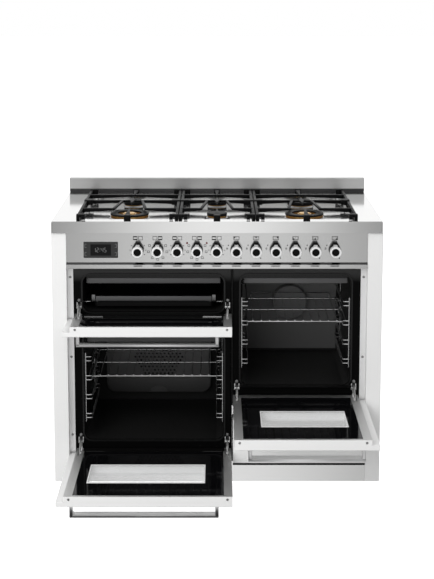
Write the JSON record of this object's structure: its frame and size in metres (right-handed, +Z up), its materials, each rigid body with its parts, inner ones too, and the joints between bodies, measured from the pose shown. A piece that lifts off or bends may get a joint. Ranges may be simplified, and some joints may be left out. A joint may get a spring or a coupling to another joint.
{
  "type": "range cooker",
  "caption": "Free-standing gas-hob range cooker with drop-down oven doors, a storage drawer, pointer knobs, cast pan supports and a low rear upstand.",
  "frame": {"origin": "centre of the footprint, open doors included, on the floor", "axes": "+X to the user's right, +Y to the back, +Z up"},
  "size_m": [1.1, 1.067, 0.953],
  "materials": {
    "white_enamel": "gloss",
    "stainless": "brushed",
    "black_enamel": "gloss",
    "galvanised": "satin",
    "cast_iron": "matte",
    "brass": "satin",
    "chrome": "polished",
    "silver_knob": "satin",
    "dark_glass": "gloss",
    "display": "gloss",
    "red_lens": "gloss",
    "seal": "matte",
    "ceramic": "satin",
    "black_plastic": "matte"
  },
  "bodies": {
    "cooker": {"chassis": "white_enamel", "levelling_feet": "black_plastic", "side_panels": "white_enamel", "rear_cover": "galvanised", "front_frames": "black_enamel", "kick_plate": "stainless", "hob_top": "stainless", "backguard": "stainless", "control_panel": "stainless", "panel_trim": "stainless", "clock_module": "display", "indicator_lamps": "red_lens", "gas_manifold": "galvanised", "oven_switches": "black_plastic", "terminal_box": "black_plastic", "burner_cups": "galvanised", "burner_rings": "brass", "burner_caps": "cast_iron", "spark_electrodes": "ceramic", "pan_supports": "cast_iron", "grill_cavity": "black_enamel", "main_cavity": "black_enamel", "right_cavity": "black_enamel", "door_gaskets": "seal", "heating_elements": "galvanised", "fan_covers": "black_enamel", "fan_motors": "galvanised", "ladder_rails": "chrome", "hinge_arms": "galvanised", "drawer_runners": "galvanised"},
    "upper_door": {"upper_door_skin": "white_enamel", "upper_door_frame": "galvanised", "upper_door_glass": "dark_glass", "upper_door_handle": "chrome"},
    "lower_door": {"lower_door_skin": "white_enamel", "lower_door_frame": "galvanised", "lower_door_glass": "dark_glass", "lower_door_handle": "chrome"},
    "right_door": {"right_door_skin": "white_enamel", "right_door_frame": "galvanised", "right_door_glass": "dark_glass", "right_door_handle": "chrome"},
    "drawer": {"drawer_front": "white_enamel", "drawer_box": "galvanised"},
    "main_rack": {"main_rack": "chrome"},
    "right_rack": {"right_rack": "chrome"},
    "grill_tray": {"grill_tray": "black_enamel"},
    "main_fan": {"main_fan": "galvanised"},
    "right_fan": {"right_fan": "galvanised"},
    "knob_01": {"knob_01": "silver_knob"},
    "knob_02": {"knob_02": "silver_knob"},
    "knob_03": {"knob_03": "silver_knob"},
    "knob_04": {"knob_04": "silver_knob"},
    "knob_05": {"knob_05": "silver_knob"},
    "knob_06": {"knob_06": "silver_knob"},
    "knob_07": {"knob_07": "silver_knob"},
    "knob_08": {"knob_08": "silver_knob"},
    "knob_09": {"knob_09": "silver_knob"},
    "knob_10": {"knob_10": "silver_knob"},
    "knob_11": {"knob_11": "silver_knob"}
  },
  "joints": [
    {"name": "upper_door_hinge", "type": "hinge", "parent": "cooker", "child": "upper_door", "pos_m": [0, -0.0865, 0.567], "axis": [-1, 0, 0], "range_deg": [0, 90]},
    {"name": "lower_door_hinge", "type": "hinge", "parent": "cooker", "child": "lower_door", "pos_m": [0, -0.0865, 0.099], "axis": [-1, 0, 0], "range_deg": [0, 90]},
    {"name": "right_door_hinge", "type": "hinge", "parent": "cooker", "child": "right_door", "pos_m": [0, -0.0865, 0.286], "axis": [-1, 0, 0], "range_deg": [0, 90]},
    {"name": "main_rack_slide", "type": "slide", "parent": "cooker", "child": "main_rack", "axis": [0, 1, 0], "range_m": [-0.25, 0]},
    {"name": "right_rack_slide", "type": "slide", "parent": "cooker", "child": "right_rack", "axis": [0, 1, 0], "range_m": [-0.25, 0]},
    {"name": "grill_tray_slide", "type": "slide", "parent": "cooker", "child": "grill_tray", "axis": [0, 1, 0], "range_m": [-0.2, 0]},
    {"name": "drawer_slide", "type": "slide", "parent": "cooker", "child": "drawer", "axis": [0, 1, 0], "range_m": [-0.35, 0]},
    {"name": "main_fan_spin", "type": "hinge", "parent": "cooker", "child": "main_fan", "pos_m": [-0.21325, 0.3635, 0.332], "axis": [0, 1, 0], "continuous": true},
    {"name": "right_fan_spin", "type": "hinge", "parent": "cooker", "child": "right_fan", "pos_m": [0.26425, 0.3635, 0.523], "axis": [0, 1, 0], "continuous": true},
    {"name": "knob_01_turn", "type": "hinge", "parent": "cooker", "child": "knob_01", "pos_m": [-0.262, -0.1065, 0.802], "axis": [0, -1, 0], "range_deg": [0, 270]},
    {"name": "knob_02_turn", "type": "hinge", "parent": "cooker", "child": "knob_02", "pos_m": [-0.1968, -0.1065, 0.802], "axis": [0, -1, 0], "range_deg": [0, 270]},
    {"name": "knob_03_turn", "type": "hinge", "parent": "cooker", "child": "knob_03", "pos_m": [-0.1316, -0.1065, 0.802], "axis": [0, -1, 0], "range_deg": [0, 270]},
    {"name": "knob_04_turn", "type": "hinge", "parent": "cooker", "child": "knob_04", "pos_m": [-0.0664, -0.1065, 0.802], "axis": [0, -1, 0], "range_deg": [0, 270]},
    {"name": "knob_05_turn", "type": "hinge", "parent": "cooker", "child": "knob_05", "pos_m": [-0.0012, -0.1065, 0.802], "axis": [0, -1, 0], "range_deg": [0, 270]},
    {"name": "knob_06_turn", "type": "hinge", "parent": "cooker", "child": "knob_06", "pos_m": [0.064, -0.1065, 0.802], "axis": [0, -1, 0], "range_deg": [0, 240]},
    {"name": "knob_07_turn", "type": "hinge", "parent": "cooker", "child": "knob_07", "pos_m": [0.1292, -0.1065, 0.802], "axis": [0, -1, 0], "range_deg": [0, 240]},
    {"name": "knob_08_turn", "type": "hinge", "parent": "cooker", "child": "knob_08", "pos_m": [0.1944, -0.1065, 0.802], "axis": [0, -1, 0], "range_deg": [0, 240]},
    {"name": "knob_09_turn", "type": "hinge", "parent": "cooker", "child": "knob_09", "pos_m": [0.2596, -0.1065, 0.802], "axis": [0, -1, 0], "range_deg": [0, 240]},
    {"name": "knob_10_turn", "type": "hinge", "parent": "cooker", "child": "knob_10", "pos_m": [0.3248, -0.1065, 0.802], "axis": [0, -1, 0], "range_deg": [0, 240]},
    {"name": "knob_11_turn", "type": "hinge", "parent": "cooker", "child": "knob_11", "pos_m": [0.39, -0.1065, 0.802], "axis": [0, -1, 0], "range_deg": [0, 240]}
  ]
}
